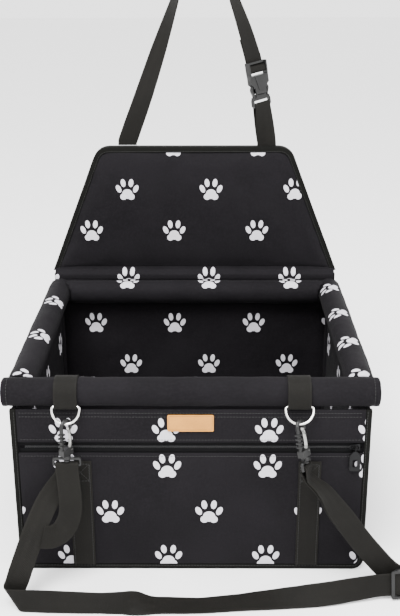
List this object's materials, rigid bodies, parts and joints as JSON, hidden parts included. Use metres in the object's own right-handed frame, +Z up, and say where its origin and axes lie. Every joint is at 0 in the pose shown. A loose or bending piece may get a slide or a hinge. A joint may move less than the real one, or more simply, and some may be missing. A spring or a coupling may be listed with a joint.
{
  "type": "dog car seat",
  "caption": "Padded fabric booster seat for a small dog with a folding backrest, buckled headrest strap, zip pocket, hanging rings and a clip-on shoulder strap.",
  "frame": {"origin": "middle of the base, on the surface that the seat stands on", "axes": "+X to the right as seen from the front, +Y towards the backrest, +Z up"},
  "size_m": [0.4573, 0.4595, 0.6522],
  "materials": {
    "printed_fabric": "padded woven fabric with a pale paw print",
    "lining_fabric": "quilted woven fabric",
    "binding_tape": "ribbed binding tape",
    "strap_webbing": "woven strap webbing, grey and olive",
    "black_plastic": "moulded black plastic, satin",
    "nickel_steel": "nickel-plated steel wire",
    "dark_metal": "dark enamelled zinc",
    "tube_plastic": "extruded plastic tube",
    "stiffener_board": "stiff plastic board",
    "label_leather": "tan imitation leather with a pressed border, bare",
    "zip_tape": "woven zip tape with nylon teeth"
  },
  "bodies": {
    "seat": {"base_cover": "printed_fabric", "base_board": "stiffener_board", "floor_pad": "lining_fabric", "front_wall": "printed_fabric", "back_wall": "printed_fabric", "left_wall": "printed_fabric", "right_wall": "printed_fabric", "front_sleeve": "printed_fabric", "left_sleeve": "printed_fabric", "right_sleeve": "printed_fabric", "rear_sleeve": "printed_fabric", "left_support_tube": "tube_plastic", "right_support_tube": "tube_plastic", "rear_support_tube": "tube_plastic", "front_binding": "binding_tape", "rear_binding": "binding_tape", "pocket_front": "printed_fabric", "pocket_top": "printed_fabric", "zipper_tape_upper": "zip_tape", "zipper_tape_lower": "zip_tape", "label_patch": "label_leather", "left_webbing_band": "strap_webbing", "right_webbing_band": "strap_webbing", "left_ring_loop": "strap_webbing", "right_ring_loop": "strap_webbing", "backrest_fold_cord": "binding_tape", "shoulder_strap": "strap_webbing", "adjuster_loop_outer": "strap_webbing", "adjuster_loop_inner": "strap_webbing"},
    "front_tube": {"front_support_tube": "tube_plastic"},
    "backrest": {"backrest_front_pad": "printed_fabric", "backrest_board": "stiffener_board", "backrest_rear_cover": "printed_fabric", "backrest_binding": "binding_tape", "headrest_strap": "strap_webbing", "buckle_anchor_strap": "strap_webbing", "buckle_socket": "black_plastic"},
    "buckle_plug": {"buckle_plug": "black_plastic"},
    "left_prong": {"buckle_prong_left": "black_plastic"},
    "right_prong": {"buckle_prong_right": "black_plastic"},
    "zip_slider": {"zipper_slider": "dark_metal"},
    "zip_puller": {"zipper_puller": "dark_metal"},
    "left_ring": {"left_ring": "nickel_steel", "left_swivel_eye": "black_plastic"},
    "left_hook": {"left_snap_hook": "black_plastic"},
    "left_gate": {"left_hook_gate": "nickel_steel"},
    "right_ring": {"right_ring": "nickel_steel", "right_swivel_eye": "black_plastic"},
    "right_hook": {"right_snap_hook": "black_plastic"},
    "right_gate": {"right_hook_gate": "nickel_steel"},
    "adjuster": {"slide_adjuster": "black_plastic"}
  },
  "joints": [
    {"name": "backrest_fold", "type": "hinge", "parent": "seat", "child": "backrest", "pos_m": [0, 0.1755, 0.24], "axis": [1, 0, 0], "range_deg": [-20, 88]},
    {"name": "front_tube_slide", "type": "slide", "parent": "seat", "child": "front_tube", "axis": [1, 0, 0], "range_m": [0, 0.4]},
    {"name": "zipper_slide", "type": "slide", "parent": "seat", "child": "zip_slider", "axis": [-1, 0, 0], "range_m": [0, 0.347], "deforming": ["zipper_tape_upper", "zipper_tape_lower"]},
    {"name": "puller_lift", "type": "hinge", "parent": "zip_slider", "child": "zip_puller", "pos_m": [0.179, -0.1833, 0.1555], "axis": [-1, 0, 0], "range_deg": [0, 150]},
    {"name": "left_ring_swing", "type": "hinge", "parent": "seat", "child": "left_ring", "pos_m": [-0.1335, -0.18493, 0.2075], "axis": [-1, 0, 0], "range_deg": [0, 40], "deforming": ["shoulder_strap"]},
    {"name": "left_hook_swivel", "type": "hinge", "parent": "left_ring", "child": "left_hook", "pos_m": [-0.1335, -0.19436, 0.15463], "axis": [0, 0.0698, 0.9976], "range_deg": [-10, 50]},
    {"name": "left_gate_press", "type": "hinge", "parent": "left_hook", "child": "left_gate", "pos_m": [-0.13086, -0.1902, 0.16016], "axis": [0.8192, -0.5722, 0.04], "range_deg": [0, 18], "stiffness_Nm_per_rad": 0.02, "springref_deg": -11.46},
    {"name": "right_ring_swing", "type": "hinge", "parent": "seat", "child": "right_ring", "pos_m": [0.1165, -0.18493, 0.2075], "axis": [-1, 0, 0], "range_deg": [0, 40], "deforming": ["adjuster_loop_outer", "adjuster_loop_inner"]},
    {"name": "right_hook_swivel", "type": "hinge", "parent": "right_ring", "child": "right_hook", "pos_m": [0.1221, -0.20289, 0.15776], "axis": [-0.1564, 0.2054, 0.9661], "range_deg": [-6, 50]},
    {"name": "right_gate_press", "type": "hinge", "parent": "right_hook", "child": "right_gate", "pos_m": [0.1238, -0.19793, 0.16298], "axis": [0.8091, -0.5344, 0.2446], "range_deg": [0, 18], "stiffness_Nm_per_rad": 0.02, "springref_deg": -11.46},
    {"name": "buckle_release", "type": "slide", "parent": "backrest", "child": "buckle_plug", "axis": [0.1564, 0, -0.9877], "range_m": [0, 0.028], "deforming": ["buckle_anchor_strap", "buckle_prong_left", "buckle_prong_right"]},
    {"name": "left_prong_squeeze", "type": "hinge", "parent": "buckle_plug", "child": "left_prong", "pos_m": [0.07903, 0.17435, 0.47971], "axis": [-0.6081, 0.788, -0.0963], "range_deg": [0, 7], "stiffness_Nm_per_rad": 0.05},
    {"name": "right_prong_squeeze", "type": "hinge", "parent": "buckle_plug", "child": "right_prong", "pos_m": [0.09584, 0.18765, 0.48237], "axis": [0.6081, -0.788, 0.0963], "range_deg": [0, 7], "stiffness_Nm_per_rad": 0.05},
    {"name": "adjuster_slide", "type": "slide", "parent": "seat", "child": "adjuster", "axis": [-0.9935, -0.1136, 0], "range_m": [0, 0.05], "deforming": ["shoulder_strap", "adjuster_loop_inner"]}
  ]
}
